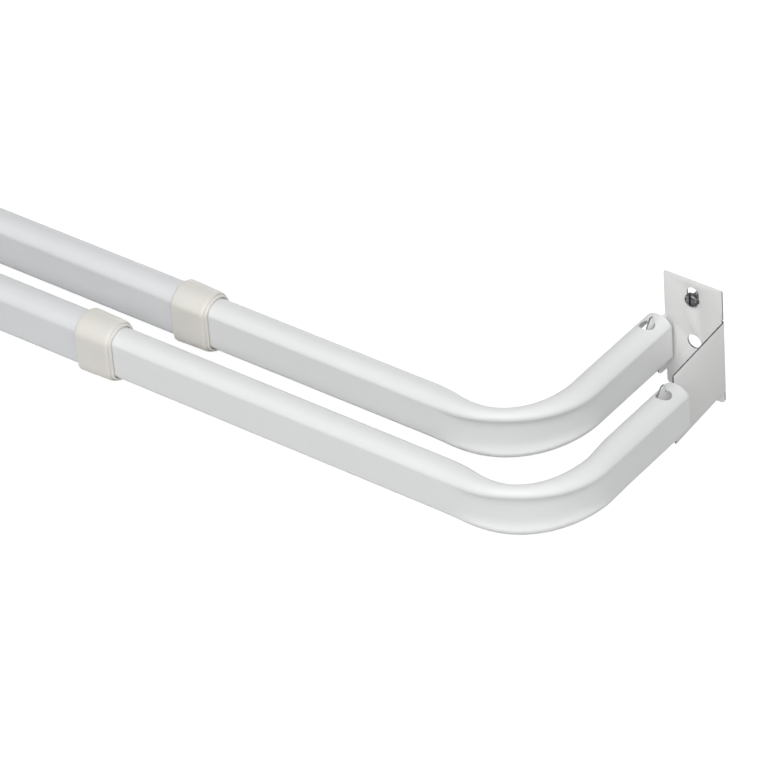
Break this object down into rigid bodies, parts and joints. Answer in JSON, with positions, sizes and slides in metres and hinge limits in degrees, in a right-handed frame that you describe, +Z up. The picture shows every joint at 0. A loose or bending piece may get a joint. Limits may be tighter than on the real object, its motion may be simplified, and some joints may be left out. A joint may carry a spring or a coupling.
{
  "type": "double curtain pole",
  "caption": "Extending double curtain pole of white rolled steel channels that hook on folded wall brackets, with moulded collars.",
  "frame": {"origin": "on the wall face of the right bracket, on the axis of its lower screw hole", "axes": "+X along the rods to the right, +Y into the wall, +Z up"},
  "size_m": [0.8092, 0.1314, 0.0508],
  "materials": {
    "rod_paint": "gloss white enamel",
    "bracket_paint": "semi-gloss white paint, bare steel at the cut edges",
    "collar_plastic": "smooth cream plastic",
    "screw_metal": "dark nickel plate"
  },
  "bodies": {
    "right_half": {"bracket_right": "bracket_paint", "screw_right": "screw_metal", "inner_rod_front": "rod_paint", "inner_rod_back": "rod_paint"},
    "left_half": {"bracket_left": "bracket_paint", "screw_left": "screw_metal", "outer_rod_front": "rod_paint", "outer_rod_back": "rod_paint", "collar_front": "collar_plastic", "collar_back": "collar_plastic"}
  },
  "joints": [
    {"name": "length_adjust", "type": "slide", "parent": "right_half", "child": "left_half", "axis": [-1, 0, 0], "range_m": [-0.096, 0.408]}
  ]
}
